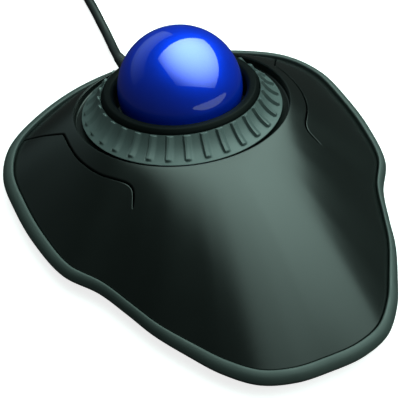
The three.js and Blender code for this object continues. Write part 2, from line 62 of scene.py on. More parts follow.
OUTLINE = [
    (0, 71), (20, 68.7), (38.2, 61.7), (51.3, 52.7), (58.3, 40.8), (60.2, 26), (60, 11), (57.1, -4.4),
    (50.1, -15.2), (45.7, -26.4), (42, -36.8), (36, -48.4), (30.1, -58.2), (21.8, -66.7), (11.4, -70.6),
    (0, -71.3),
]
UNDERSIDE, FLOOR, WIDEST, RIM_TOP, RIM_EDGE = 1.0, 3.0, 6.2, 9.5, 8.6
WALL_FOOT, SKIN_FOOT = 5.8, 7.6
RIM_WIDTH, WAIST_NARROWER, WAIST_Y, WAIST_LENGTH = 3.45, 1.25, -24, 26
GAP = 0.35                    # between the rim and the cover
BALL_R, BALL_Y, BALL_Z = 20.0, 32.5, 31.1
TILT = math.radians(13.5)     # lean of the ring's axis towards the cable
COVER = 2.2                   # thickness of the cover
# Radii from the ring's axis, and heights along it from the ball's centre: the lip of the cover's
# opening, the floor of the moat inside it, and the moat's inner ledge.
LIP_R, LIP_H, MOAT_H, LEDGE_R, LEDGE_H = 34.8, -6.4, -9.9, 30.7, -11.1
LIP_TRIM, LIP_DROP = 0.8, 1.6     # the lip is this much tighter and lower at the rear
SEAM_POINTS = [
    (42.2, 45), (38.2, 38.4), (39.1, 31), (39.2, 25), (38.2, 19), (36.3, 13.4), (33.6, 8.8),
    (31.2, 5.2), (30.6, 2.6), (32.6, -2.2),
]
SEAM_START = (48.4, 54.4)     # on the line that the seam follows out to the rim
HINGE_END = (60, -12.8)       # the flexing line runs from the slit's end towards this point


# ---------------------------------------------------------------- camera

CAMERA_AZIMUTH, CAMERA_ELEVATION, CAMERA_ROLL = map(math.radians, (-28.13, 47.51, 2.51))
CAMERA_DISTANCE = 0.6005
CAMERA_TARGET = Vector((-0.00785, 0.00097, 0.013))
CAMERA_LENS = 172.3


def make_camera():
    back = Vector((
        math.sin(CAMERA_AZIMUTH) * math.cos(CAMERA_ELEVATION),
        -math.cos(CAMERA_AZIMUTH) * math.cos(CAMERA_ELEVATION),
        math.sin(CAMERA_ELEVATION),
    ))
    data = bpy.data.cameras.new("camera")
    data.lens = CAMERA_LENS
    data.clip_start, data.clip_end = 0.01, 20
    camera = bpy.data.objects.new("camera", data)
    bpy.context.collection.objects.link(camera)
    turn = (-back).to_track_quat("-Z", "Y").to_matrix().to_4x4()
    roll = Matrix.Rotation(CAMERA_ROLL, 4, "Z")
    camera.matrix_world = Matrix.Translation(CAMERA_TARGET + back * CAMERA_DISTANCE) @ turn @ roll
    bpy.context.scene.camera = camera


# ---------------------------------------------------------------- curves and surfaces

def catmull(points, closed, steps):
    """Centripetal Catmull-Rom curve through the points, with the given steps between two of them."""
    p = np.asarray(points, float)
    if closed:
        ring = np.vstack([p[-1], p, p[0], p[1]])
    else:
        ring = np.vstack([2 * p[0] - p[1], p, 2 * p[-1] - p[-2]])
    out = []
    for i in range(1, len(ring) - 2):
        a, b, c, d = ring[i - 1:i + 3]
        g0, g1, g2 = (max(np.linalg.norm(v) ** 0.5, 1e-6) for v in (b - a, c - b, d - c))
        m1 = ((b - a) / g0 - (c - a) / (g0 + g1) + (c - b) / g1) * g1
        m2 = ((c - b) / g1 - (d - b) / (g1 + g2) + (d - c) / g2) * g1
        for s in np.arange(steps) / steps:
            out.append(b + m1 * s + (3 * (c - b) - 2 * m1 - m2) * s ** 2
                       + (2 * (b - c) + m1 + m2) * s ** 3)
    if not closed:
        out.append(p[-1])
    return np.array(out)


def resample(points, count, closed=True):
    """The same line with evenly spaced points."""
    line = np.vstack([points, points[:1]]) if closed else points
    length = np.concatenate([[0], np.cumsum(np.linalg.norm(np.diff(line, axis=0), axis=1))])
    at = np.linspace(0, length[-1], count + 1 if closed else count)
    out = np.stack([np.interp(at, length, line[:, i]) for i in range(line.shape[1])], axis=1)
    return out[:-1] if closed else out


def smooth_step(value, low, high):
    """Rise from 0 at low to 1 at high, level at both."""
    t = np.clip((value - low) / (high - low), 0, 1)
    return t * t * (3 - 2 * t)


AROUND = 420                  # points round the outline
both_halves = OUTLINE + [(-x, y) for x, y in OUTLINE[-2:0:-1]]
outline = resample(catmull(both_halves, True, 60), AROUND)
ahead, behind = np.roll(outline, -1, axis=0), np.roll(outline, 1, axis=0)
inward = np.stack([(ahead - behind)[:, 1], -(ahead - behind)[:, 0]], axis=1)
inward /= np.linalg.norm(inward, axis=1)[:, None]
# The rim is narrower at the waist, and the cover's outer edge follows it.
RIM = RIM_WIDTH - WAIST_NARROWER * np.exp(-(((outline[:, 1] - WAIST_Y) / WAIST_LENGTH) ** 2))
edge = outline + inward * (RIM + GAP)[:, None]


def ring_points(radius, angle, height):
    """Points round the ring's tilted axis, in the part's frame. The angle is taken from the rear, and
    the height from the ball's centre."""
    across, along = radius * np.sin(angle), radius * np.cos(angle)
    return np.stack([
        across + 0 * height,
        BALL_Y + along * math.cos(TILT) + height * math.sin(TILT),
        BALL_Z - along * math.sin(TILT) + height * math.cos(TILT),
    ], axis=-1)


LIP_Y = BALL_Y + LIP_H * math.sin(TILT)      # centre of the cover's opening, in plan
lip_angle = np.linspace(0, 2 * math.pi, 1440, endpoint=False)
rearness = np.maximum(0, np.cos(lip_angle)) ** 2
lip = ring_points(LIP_R - LIP_TRIM * rearness, lip_angle, LIP_H - LIP_DROP * rearness)


def polar(points):
    """Angle from +Y, and distance, about the middle of the cover's opening."""
    x, y = points[..., 0], points[..., 1] - LIP_Y
    return np.arctan2(x, y) % (2 * math.pi), np.hypot(x, y)


def periodic(angle, value):
    """Table of a value against the angle about the opening, for lookup."""
    order = np.argsort(angle)
    return angle[order], value[order]


edge_table = periodic(*polar(edge))
lip_plan_angle, lip_plan_radius = polar(lip)
lip_radius_table = periodic(lip_plan_angle, lip_plan_radius)
lip_height_table = periodic(lip_plan_angle, lip[:, 2])


def lookup(angle, table):
    return np.interp(angle, *table, period=2 * math.pi)


SIDE_FULLNESS, CROWN_FULLER, CROWN_WIDTH, CROWN_SHAPE = 1.08, 0.9, 0.45, 1.3


def skin_height(points):
    """Height of the cover's skin over plan points: it falls evenly from the lip of the opening to the
    rim, except along the crown of the palm rest, where it stays full before it drops."""
    angle, distance = polar(points)
    inner = lookup(angle, lip_radius_table)
    outer = lookup(angle, edge_table)
    top = lookup(angle, lip_height_table)
    t = np.clip((distance - inner) / (outer - inner), 0, 1)
    from_crown = np.abs(angle - math.pi)
    fullness = SIDE_FULLNESS + CROWN_FULLER * np.exp(-((from_crown / CROWN_WIDTH) ** CROWN_SHAPE))
    return top - (top - RIM_EDGE) * t ** fullness


def skin_normals(points, step=0.2):
    dx = skin_height(points + (step, 0)) - skin_height(points - (step, 0))
    dy = skin_height(points + (0, step)) - skin_height(points - (0, step))
    normal = np.stack([-dx, -dy, np.full(len(points), 2 * step)], axis=1)
    return normal / np.linalg.norm(normal, axis=1)[:, None]


# ---------------------------------------------------------------- mesh helpers

def make_object(name, mesh, look):
    thing = bpy.data.objects.new(name, mesh)
    bpy.context.collection.objects.link(thing)
    mesh.materials.append(look)
    return thing


def mesh_from(name, points, faces, look):
    """Object from points in millimetres, with its faces turned outwards."""
    mesh = bpy.data.meshes.new(name)
    mesh.from_pydata((np.asarray(points, float) * MM).tolist(), [], faces)
    shaped = bmesh.new()
    shaped.from_mesh(mesh)
    bmesh.ops.recalc_face_normals(shaped, faces=shaped.faces)
    shaped.to_mesh(mesh)
    shaped.free()
    mesh.polygons.foreach_set("use_smooth", [True] * len(mesh.polygons))
    return make_object(name, mesh, look)


def raised(plan, height):
    """Plan points at a height."""
    return np.column_stack([plan, np.full(len(plan), height)])


def loft_faces(rows, count, closed=False):
    """Faces between rows of points that run round, and from the last row to the first if closed."""
    faces = []
    for i in range(rows if closed else rows - 1):
        j = (i + 1) % rows
        for k in range(count):
            n = (k + 1) % count
            faces.append((i * count + k, i * count + n, j * count + n, j * count + k))
    return faces


def loft(name, rows, look, closed=False, capped=False):
    """Object through rows of points, closed on itself or capped by a face at either end."""
    count = len(rows[0])
    faces = loft_faces(len(rows), count, closed)
    if capped:
        faces += [tuple(range(count)), tuple(range((len(rows) - 1) * count, len(rows) * count))]
    return mesh_from(name, np.vstack(rows), faces, look)


def sharpen(thing, degrees):
    """Split the shading at edges sharper than the angle."""
    mesh = thing.data
    shaped = bmesh.new()
    shaped.from_mesh(mesh)
    for line in shaped.edges:
        if len(line.link_faces) == 2:
            line.smooth = line.calc_face_angle(0) < math.radians(degrees)
    shaped.to_mesh(mesh)
    shaped.free()


def stand_for(thing, cad_node, body):
    """Put a piece in a CAD node's place: hide the node and attach the piece to the node's body."""
    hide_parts(cad_node)
    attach(thing, body)


# ---------------------------------------------------------------- materials

def shader(name):
    """New material with one Principled surface: the material, its node tree and the surface node."""
    look = bpy.data.materials.new(name)
    look.use_nodes = True
    tree = look.node_tree
    tree.nodes.clear()
    output = tree.nodes.new("ShaderNodeOutputMaterial")
    surface = tree.nodes.new("ShaderNodeBsdfPrincipled")
    tree.links.new(surface.outputs[0], output.inputs[0])
    return look, tree, surface


def node(tree, kind, **inputs):
    """Node with its inputs set by name, written with underscores for spaces."""
    made = tree.nodes.new(kind)
    for key, value in inputs.items():
        made.inputs[key.replace("_", " ")].default_value = value
    return made


def noise(tree, scale, detail=3.0, roughness=0.55):
    """Noise fixed to the object."""
    place = tree.nodes.new("ShaderNodeTexCoord")
    made = node(tree, "ShaderNodeTexNoise", Scale=scale, Detail=detail, Roughness=roughness)
    tree.links.new(place.outputs["Object"], made.inputs["Vector"])
    return made


def ramp(tree, source, low, high, start=0.3, end=0.7):
    """Remap a 0 to 1 value to a range of numbers."""
    made = tree.nodes.new("ShaderNodeMapRange")
    for key, value in zip(("From Min", "From Max", "To Min", "To Max"), (start, end, low, high)):
        made.inputs[key].default_value = value
    tree.links.new(source, made.inputs["Value"])
    return made.outputs[0]


def two_colours(tree, source, first, second):
    """Colour between two, by a 0 to 1 value."""
    made = tree.nodes.new("ShaderNodeMix")
    made.data_type = "RGBA"
    made.inputs["A"].default_value = (*first, 1)
    made.inputs["B"].default_value = (*second, 1)
    tree.links.new(source, made.inputs["Factor"])
    return made.outputs["Result"]


def moulded(name, first, second, rough=(0.3, 0.4), grain=2600, bump=0.05, patch=35, specular=0.5,
            coat=0.0, coat_ior=1.5, metallic=0.0):
    """Moulded plastic or rubber: soft colour variation, a fine moulded grain and faint handling marks."""
    look, tree, surface = shader(name)
    patches = noise(tree, patch, 4)
    tree.links.new(two_colours(tree, ramp(tree, patches.outputs["Fac"], 0, 1), first, second),
                   surface.inputs["Base Color"])
    wear = noise(tree, patch * 4.3, 3, 0.5)
    tree.links.new(ramp(tree, wear.outputs["Fac"], *rough), surface.inputs["Roughness"])
    fine = noise(tree, grain, 2)
    relief = node(tree, "ShaderNodeBump", Strength=bump, Distance=0.00008)
    tree.links.new(fine.outputs["Fac"], relief.inputs["Height"])
    tree.links.new(relief.outputs[0], surface.inputs["Normal"])
    surface.inputs["Specular IOR Level"].default_value = specular
    surface.inputs["Coat Weight"].default_value = coat
    surface.inputs["Coat Roughness"].default_value = 0.03
    surface.inputs["Coat IOR"].default_value = coat_ior
    surface.inputs["Metallic"].default_value = metallic
    return look


def metal(name, colour, rough=(0.22, 0.38)):
    """Bare metal with slightly uneven tone and polish."""
    look, tree, surface = shader(name)
    surface.inputs["Metallic"].default_value = 1
    brushed = noise(tree, 900, 5)
    tree.links.new(two_colours(tree, ramp(tree, brushed.outputs["Fac"], 0, 1),
                               colour, tuple(c * 0.8 for c in colour)), surface.inputs["Base Color"])
    tree.links.new(ramp(tree, brushed.outputs["Fac"], *rough), surface.inputs["Roughness"])
    return look


def circuit(name):
    """Green board with darker tracks."""
    look, tree, surface = shader(name)
    place = tree.nodes.new("ShaderNodeTexCoord")
    tracks = node(tree, "ShaderNodeTexVoronoi", Scale=420.0)
    tree.links.new(place.outputs["Object"], tracks.inputs["Vector"])
    tree.links.new(two_colours(tree, ramp(tree, tracks.outputs["Distance"], 0, 1, 0.2, 0.35),
                               (0.02, 0.16, 0.06), (0.01, 0.09, 0.035)), surface.inputs["Base Color"])
    surface.inputs["Roughness"].default_value = 0.35
    return look


def clear(name):
    """Clear moulded plastic."""
    look, tree, surface = shader(name)
    haze = noise(tree, 300)
    tree.links.new(ramp(tree, haze.outputs["Fac"], 0.03, 0.12), surface.inputs["Roughness"])
    surface.inputs["Base Color"].default_value = (0.9, 0.95, 0.97, 1)
    surface.inputs["Transmission Weight"].default_value = 1
    surface.inputs["IOR"].default_value = 1.49
    return look


COVER_LOOK = moulded("cover_black", (0.0055, 0.0068, 0.0064), (0.0066, 0.0081, 0.0076),
                     rough=(0.259, 0.271), bump=0.006)
BASE_LOOK = moulded("base_grey_green", (0.033, 0.042, 0.04), (0.041, 0.051, 0.049),
                    rough=(0.5, 0.62), bump=0.12)
RING_LOOK = moulded("ring_grey_green", (0.057, 0.073, 0.073), (0.067, 0.085, 0.085),
                    rough=(0.44, 0.54), bump=0.12)
BALL_LOOK = moulded("ball_blue", (0.0, 0.05, 0.96), (0.0, 0.058, 1.0),
                    rough=(0.38, 0.44), bump=0.0, specular=0.0, coat=1.0, coat_ior=2.1, metallic=0.68)
COLLAR_LOOK = moulded("collar_black", (0.003, 0.004, 0.004), (0.004, 0.005, 0.005),
                      rough=(0.45, 0.55), bump=0.03, specular=0.06)
RUBBER_LOOK = moulded("foot_rubber", (0.012, 0.012, 0.012), (0.02, 0.02, 0.02),
                      rough=(0.75, 0.9), bump=0.2, specular=0.3)
CABLE_LOOK = moulded("cable_black", (0.006, 0.007, 0.007), (0.01, 0.011, 0.011),
                     rough=(0.38, 0.48), bump=0.06)
BOOT_LOOK = moulded("moulded_rubber", (0.008, 0.008, 0.009), (0.013, 0.013, 0.013),
                    rough=(0.5, 0.6), bump=0.12)
SCREW_LOOK = metal("screw_steel", (0.5, 0.5, 0.5))
PLUG_LOOK = metal("plug_steel", (0.72, 0.72, 0.74), rough=(0.16, 0.28))
BOARD_LOOK = circuit("circuit_board")
LENS_LOOK = clear("clear_lens")
WHITE_LOOK = moulded("white_plastic", (0.72, 0.71, 0.66), (0.8, 0.79, 0.75), rough=(0.3, 0.45))
LABEL_LOOK = moulded("label_film", (0.42, 0.43, 0.43), (0.47, 0.48, 0.48), rough=(0.3, 0.4))
INNER_LOOK = moulded("inner_plastic", (0.018, 0.018, 0.02), (0.03, 0.03, 0.032), rough=(0.45, 0.6))

SLOT_LOOKS = {
    "cover_black": COVER_LOOK, "base_grey_green": BASE_LOOK, "ring_grey_green": RING_LOOK,
    "ball_blue": BALL_LOOK, "collar_black": COLLAR_LOOK, "foot_rubber": RUBBER_LOOK,
    "cable_black": CABLE_LOOK, "moulded_rubber": BOOT_LOOK, "screw_steel": SCREW_LOOK,
    "plug_steel": PLUG_LOOK, "circuit_board": BOARD_LOOK, "clear_lens": LENS_LOOK,
    "white_plastic": WHITE_LOOK, "label_film": LABEL_LOOK, "inner_plastic": INNER_LOOK,
}


def dress_cad_nodes():
    """Give every CAD node the procedural material of its slot."""
    for part in frame["record"]["subparts"]:
        data = frame["nodes"][part["node"]].data
        data.materials.clear()
        data.materials.append(SLOT_LOOKS[part["material_slot"]])


# ---------------------------------------------------------------- plan loops

def offset_line(line, distances):
    """Shift an open line sideways, to the left of its direction, by a distance at each point."""
    tangent = np.gradient(line, axis=0)
    tangent /= np.linalg.norm(tangent, axis=1)[:, None]
    left = np.stack([-tangent[:, 1], tangent[:, 0]], axis=1)
    return line + left * np.asarray(distances)[:, None]


def inside(points, loop):
    """Which plan points lie inside a closed loop."""
    x, y = points[:, 0][:, None], points[:, 1][:, None]
    ax, ay = loop[:, 0][None], loop[:, 1][None]
    bx, by = np.roll(loop[:, 0], -1)[None], np.roll(loop[:, 1], -1)[None]
    crosses = (ay > y) != (by > y)
    with np.errstate(divide="ignore", invalid="ignore"):
        at = ax + (y - ay) * (bx - ax) / (by - ay)
    return (np.count_nonzero(crosses & (x < at), axis=1) % 2) == 1


def between(points, loops):
    """Which plan points lie inside the first loop and outside the others, its holes."""
    ok = inside(points, loops[0])
    for hole in loops[1:]:
        ok &= ~inside(points, hole)
    return ok


def loop_segments(loops):
    """Index pairs that run round each loop, where the loops' points follow one another."""
    segments, at = [], 0
    for loop in loops:
        segments += [(at + i, at + (i + 1) % len(loop)) for i in range(len(loop))]
        at += len(loop)
    return segments


def fill_plan(points, loops):
    """Triangles between the loops over plan points, the first of which are the loops' own."""
    out = delaunay_2d_cdt([Vector(p) for p in points.tolist()], loop_segments(loops), [], 0, 1e-6)
    assert len(out[0]) == len(points), "two plan points coincide"
    triangles = np.array(out[2])
    return triangles[between(points[triangles].mean(1), loops)]


def corner_normals(loop):
    """Unit normals to the right of a closed loop's direction, halved at its corners."""
    before, after = loop - np.roll(loop, 1, axis=0), np.roll(loop, -1, axis=0) - loop
    before /= np.linalg.norm(before, axis=1)[:, None]
    after /= np.linalg.norm(after, axis=1)[:, None]
    along = before + after
    along /= np.linalg.norm(along, axis=1)[:, None]
    return np.stack([along[:, 1], -along[:, 0]], axis=1)


def anticlockwise(loop):
    x, y = loop[:, 0], loop[:, 1]
    area = (x * np.roll(y, -1) - np.roll(x, -1) * y).sum()
    return loop if area > 0 else loop[::-1]


def nearest_on(points, starts, ends):
    """Distance from each plan point to a set of segments, and the nearest point on them."""
    distance = np.full(len(points), np.inf)
    nearest = np.zeros_like(points)
    along = ends - starts
    length2 = (along ** 2).sum(1)
    for i in range(0, len(points), 1000):
        p = points[i:i + 1000]
        t = ((p[:, None] - starts[None]) * along[None]).sum(-1) / length2[None]
        at = starts[None] + along[None] * np.clip(t, 0, 1)[..., None]
        gap = np.linalg.norm(p[:, None] - at, axis=-1)
        best = gap.argmin(1)
        rows = np.arange(len(p))
        distance[i:i + 1000], nearest[i:i + 1000] = gap[rows, best], at[rows, best]
    return distance, nearest


def strip_ends(line, keep=0.3):
    """The line without points closer than keep to its ends, which its neighbours in a loop supply."""
    ok = (np.linalg.norm(line - line[0], axis=1) > keep) & (np.linalg.norm(line - line[-1], axis=1) > keep)
    return line[ok]


def joined(parts):
    """One loop from pieces of line, each with whether the edges that leave its points are free."""
    loop = np.vstack([line for line, _ in parts])
    return loop, np.concatenate([np.full(len(line), free) for line, free in parts])


def circle(x, y, radius, count=40):
    angle = np.linspace(0, 2 * math.pi, count, endpoint=False)
    return np.stack([x + radius * np.cos(angle), y + radius * np.sin(angle)], axis=1)


def rounded_rect(x, y, width, depth, radius, steps=8):
    out = []
    for sx, sy, start in ((1, 1, 0), (-1, 1, 90), (-1, -1, 180), (1, -1, 270)):
        for i in range(steps + 1):
            angle = math.radians(start + 90 * i / steps)
            out.append((x + sx * (width / 2 - radius) + radius * math.cos(angle),
                        y + sy * (depth / 2 - radius) + radius * math.sin(angle)))
    return np.array(out)


# ---------------------------------------------------------------- cover and buttons

EDGE_ROUND = 0.35             # radius that free edges of the skin are rounded to
EDGE_ROWS = [0.04, 0.12, 0.22, 0.35, 0.7]     # depths of the rows of points beside an edge
LAST_ROW = 1.25               # depth of the row that leads over to the grid
GRID, GRID_MARGIN = 1.5, 1.9  # spacing of the skin's plan grid, and how far it stays from edges
SEAM_GAP, GAP_CLOSES = 0.45, 2.5              # the seam's gap, and the length that it closes over
MIRROR = np.array([-1, 1])


def edge_crossing(start, end):
    """Where the line from start to end crosses the cover's outer edge."""
    at = np.linspace(0, 1, 4000)[:, None]
    line = np.asarray(start) * (1 - at) + np.asarray(end) * at
    angle, distance = polar(line)
    beyond = distance > lookup(angle, edge_table)
    return line[np.argmax(beyond) if beyond.any() else -1]


def edge_between(first, last, through):
    """The outer edge from the point nearest first to the one nearest last, passing near through."""
    a, b, c = (int(np.argmin(np.linalg.norm(edge - p, axis=1))) for p in (first, last, through))
    count = len(edge)
    forward = [(a + i) % count for i in range((b - a) % count + 1)]
    if c in forward:
        return edge[forward]
    return edge[[(a - i) % count for i in range((a - b) % count + 1)]]


def hinge_points(start, end):
    """Points along the flexing line, close together near its ends, where the edges are rounded."""
    length = np.linalg.norm(end - start)
    middle = list(np.arange(GRID, length - 1.2, GRID))
    at = EDGE_ROWS + middle + [length - depth for depth in EDGE_ROWS[::-1]]
    return start + (end - start) * (np.array(at) / length)[:, None]


def tapered_gap(line):
    """Gap at each point of the seam, closing to nothing at the slit's end."""
    to_end = np.linalg.norm(line - line[-1], axis=1)
    share = np.clip(to_end / GAP_CLOSES, 0, 1)
    return SEAM_GAP * np.sqrt(share * (2 - share))


# Right-hand seam, from the rim, round the ring and down the slit to where the skin starts to flex.
# It is the button's edge, and the cover's edge keeps the gap from it.
seam_spline = catmull(SEAM_POINTS[1:], False, 12)
button_seam = resample(np.vstack([[SEAM_START], [SEAM_POINTS[0]], seam_spline]), 130, closed=False)
seam_top = edge_crossing(SEAM_POINTS[0], SEAM_START)
button_seam = button_seam[np.linalg.norm(button_seam - seam_top, axis=1).argmin():]
button_seam[0] = seam_top
cover_seam = offset_line(button_seam, -tapered_gap(button_seam))
cover_seam[0] = edge_crossing(cover_seam[3], cover_seam[0] + (cover_seam[0] - cover_seam[3]) * 4)
slit_end = np.array(SEAM_POINTS[-1], float)
hinge_out = edge_crossing(slit_end, HINGE_END)
hinge_line = hinge_points(slit_end, hinge_out)


def button_loop():
    side = strip_ends(edge_between(hinge_out, seam_top, np.array([60, 20]) * 0.93))
    return joined([
        (button_seam[:-1], True), (button_seam[-1:], False), (hinge_line, False), ([hinge_out], True),
        (side, True),
    ])


def cover_loop():
    palm = strip_ends(edge_between(hinge_out, hinge_out * MIRROR, np.array([0, -67])))
    rear = strip_ends(edge_between(cover_seam[0] * MIRROR, cover_seam[0], np.array([0, 67])))
    return joined([
        (cover_seam[:-1], True), (cover_seam[-1:], False), (hinge_line, False), ([hinge_out], True),
        (palm, True), ([hinge_out * MIRROR], False), (hinge_line[::-1] * MIRROR, False),
        (cover_seam[::-1] * MIRROR, True), (rear, True),
    ])


def skin_points(loops, bound, following, outward):
    """Plan points of a piece of skin: its loops, rows of points beside them and a staggered grid."""
    cloud = [bound]
    for depth in (*EDGE_ROWS, LAST_ROW):
        row = bound - outward * depth
        if depth > EDGE_ROUND:
            row = row[::2]
        distance, _ = nearest_on(row, bound, following)
        cloud.append(row[between(row, loops) & (distance > depth * 0.93)])
    low, high = bound.min(0), bound.max(0)
    x, y = np.meshgrid(np.arange(low[0], high[0], GRID), np.arange(low[1], high[1], GRID))
    x[1::2] += GRID / 2
    grid = np.stack([x.ravel(), y.ravel()], axis=1)
    distance, _ = nearest_on(grid, bound, following)
    cloud.append(grid[between(grid, loops) & (distance > GRID_MARGIN)])
    return np.vstack(cloud)


def skin_piece(name, outer, free, hole=None):
    """Closed piece of the cover's skin over the plan inside a loop, with its free edges rounded.

    free says of each loop point whether the edge from it to the next is a real edge; the others lie
    on a flexing line, where the neighbour's skin carries on."""
    loops = [anticlockwise(outer)]
    if loops[0] is not outer:
        free = np.roll(free[::-1], -1)
    if hole is not None:
        loops.append(anticlockwise(hole)[::-1])
        free = np.concatenate([free, np.ones(len(hole), bool)])
    bound = np.vstack(loops)
    following = np.vstack([np.roll(loop, -1, axis=0) for loop in loops])
    outward = np.vstack([corner_normals(loop) for loop in loops])
    points = skin_points(loops, bound, following, outward)
    triangles = fill_plan(points, loops)

    distance, nearest = nearest_on(points, bound[free], following[free])
    away = nearest - points
    away /= np.maximum(np.linalg.norm(away, axis=1), 1e-9)[:, None]
    on_edge = np.flatnonzero(distance[:len(bound)] < 1e-6)
    away[on_edge] = outward[on_edge]
    lean = np.clip((EDGE_ROUND - distance) / EDGE_ROUND, 0, 1)
    level = np.sqrt(1 - lean ** 2)
    normal = skin_normals(points)
    shade = normal * level[:, None]
    shade[:, :2] += away * lean[:, None]
    shade /= np.linalg.norm(shade, axis=1)[:, None]

    count = len(points)
    height = skin_height(points)
    top = np.column_stack([points, height - EDGE_ROUND * (1 - level)])
    bottom = np.column_stack([points, np.maximum(height - COVER, SKIN_FOOT)])
    side = np.column_stack([outward, np.zeros(len(bound))])
    walls = loop_segments(loops)
    faces = [tuple(t) for t in triangles.tolist()]
    faces += [tuple(count + i for i in reversed(t)) for t in triangles.tolist()]
    faces += [(b, a, count + a, count + b) for a, b in walls]
    corners = [shade[i] for t in triangles for i in t]
    corners += [-normal[i] for t in triangles for i in reversed(t)]
    corners += [side[i] for a, b in walls for i in (b, a, a, b)]

    mesh = bpy.data.meshes.new(name)
    mesh.from_pydata((np.vstack([top, bottom]) * MM).tolist(), [], faces)
    mesh.polygons.foreach_set("use_smooth", [True] * len(mesh.polygons))
    mesh.normals_split_custom_set([tuple(n) for n in corners])
    return make_object(name, mesh, COVER_LOOK)


def make_moat():
    """The trough that the ring turns in: its wall, its floor, its inner edge and its underside."""
    angle, rear = lip_angle[::4], rearness[::4]
    wall, top = LIP_R - LIP_TRIM * rear, LIP_H - LIP_DROP * rear
    rows = [
        (wall - 0.03, top - 0.3), (wall - 0.03, top - 0.8), (wall - 0.05, MOAT_H + 0.7),
        (wall - 0.15, MOAT_H + 0.3), (wall - 0.4, MOAT_H + 0.06), (wall - 0.8, MOAT_H),
        (LEDGE_R + 0.3, MOAT_H), (LEDGE_R + 0.1, MOAT_H - 0.05), (LEDGE_R, MOAT_H - 0.25),
        (LEDGE_R, LEDGE_H), (wall + 1.4, LEDGE_H), (wall + 1.4, top - 1.4), (wall + 0.6, top - 0.9),
    ]
    return loft("cover_moat", [ring_points(r, angle, h) for r, h in rows], COVER_LOOK, closed=True)


def make_cover():
    cover = skin_piece("cover_skin", *cover_loop(), hole=lip[::4][:, :2])
    for thing in (cover, make_moat()):
        stand_for(thing, "top_cover", "base")
    loop, free = button_loop()
    for side, name in ((1, "right"), (-1, "left")):
        button = skin_piece(f"{name}_button_skin", loop * (side, 1), free)
        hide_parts(f"{name}_button")
        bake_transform(button)


# ---------------------------------------------------------------- base tray

FLAT = 5.9                    # inset of the underside's flat part
WELL_R, WELL_TOP = 3.0, 3.4   # the wells that the screws are driven through, open underneath
COVER_SCREWS = [(35.5, 52.5), (-35.5, 52.5), (24, -44), (-24, -44)]
CUP_SCREWS = [(24.2 * math.cos(math.radians(a)), BALL_Y + 24.2 * math.sin(math.radians(a)))
              for a in (30, 150, 210, 330)]
LABEL_Y, LABEL_WIDTH, LABEL_DEPTH, LABEL_TOP = -12, 44, 22, 1.5
LABEL_PLAY = 0.7              # the recess is this much wider and deeper than the label


def profile_rows():
    """Section of the tray's outer wall and rim: insets and heights at each point of the outline."""
    w = RIM
    knots = [
        (FLAT, UNDERSIDE), (4.6, UNDERSIDE + 0.5), (2.2, UNDERSIDE + 2.8), (0, WIDEST),
        (0.1 * w, WIDEST + 1.2), (0.38 * w, RIM_TOP - 0.8), (0.72 * w, RIM_TOP - 0.1), (0.88 * w, RIM_TOP),
    ]
    bend = [
        (0.94 * w, RIM_TOP - 0.06), (0.98 * w, RIM_TOP - 0.22), (w, RIM_TOP - 0.45), (w, RIM_EDGE - 0.4),
        (w + 0.2, WALL_FOOT), (w + 3.2, FLOOR),
    ]
    knots, bend = (np.array([np.stack([inset + 0 * w, height + 0 * w], axis=-1) for inset, height in part])
                   for part in (knots, bend))
    smooth = catmull(knots.reshape(len(knots), -1), False, 5).reshape(-1, len(w), 2)
    return [*smooth, *bend]


def make_tray():
    rows = profile_rows()
    points = np.vstack([np.column_stack([outline + inward * row[:, :1], row[:, 1]]) for row in rows])
    faces = loft_faces(len(rows), AROUND)
    faces.append(tuple(range(len(points) - AROUND, len(points))))
    holes = [circle(x, y, WELL_R) for x, y in COVER_SCREWS + CUP_SCREWS]
    ceilings = [WELL_TOP] * len(holes) + [LABEL_TOP]
    holes.append(rounded_rect(0, LABEL_Y, LABEL_WIDTH + LABEL_PLAY, LABEL_DEPTH + LABEL_PLAY, 2))
    loops = [outline + inward * FLAT, *holes]
    under = np.vstack(loops)
    # The underside's outer loop is the wall's first row, so its points are shared.
    at = len(points)
    faces += [tuple(i if i < AROUND else at - AROUND + i for i in t)
              for t in fill_plan(under, loops).tolist()]
    points = np.vstack([points, raised(under[AROUND:], UNDERSIDE)])
    for hole, height in zip(holes, ceilings):
        count, ceiling = len(hole), len(points)
        points = np.vstack([points, raised(hole, height)])
        faces += [(at + i, at + j, ceiling + j, ceiling + i) for i, j in loop_segments([hole])]
        faces.append(tuple(range(ceiling, ceiling + count)))
        at += count
    tray = mesh_from("base_tray", points, faces, BASE_LOOK)
    sharpen(tray, 35)
    stand_for(tray, "base_shell", "base")


# ---------------------------------------------------------------- ball, collar and scroll ring

BALL_CENTRE = Vector((0, BALL_Y, BALL_Z)) * MM
COLLAR = [                    # section: radii, and heights above the ball's centre
    (21.3, -11.25), (24.3, -11.25), (24.3, -3.9), (25.3, -3.7), (25.3, -1.0), (24.3, 0.4),
    (22.3, 0.4), (21.3, -0.8),
]
RIBS, RIB_SHIFT = 31, 0.1     # the shift is a share of the ribs' pitch
RIB_HALF_WIDTH, RIB_LIFT, GROOVE_DEPTH = 0.6, 0.8, 0.32
BAND_R, BAND_H, BAND_WIDER, BAND_LOWER = 25.7, -1.2, 7.1, -7.0     # from the ribbed band's top
BAND_HOLLOW, BAND_END = 0.7, 0.93
SKIRT = [                     # section from the band's foot, round underneath, to the band's top
    (32.22, -7.97), (32.14, -8.12), (31.9, -8.3), (31.3, -9.0), (31.0, -9.2), (30.4, -8.2), (26.3, -4.8),
    (26.3, -9.2), (24.7, -9.2), (24.7, -4.2), (25.65, -4.2), (25.5, -2.0), (25.52, -1.45),
]


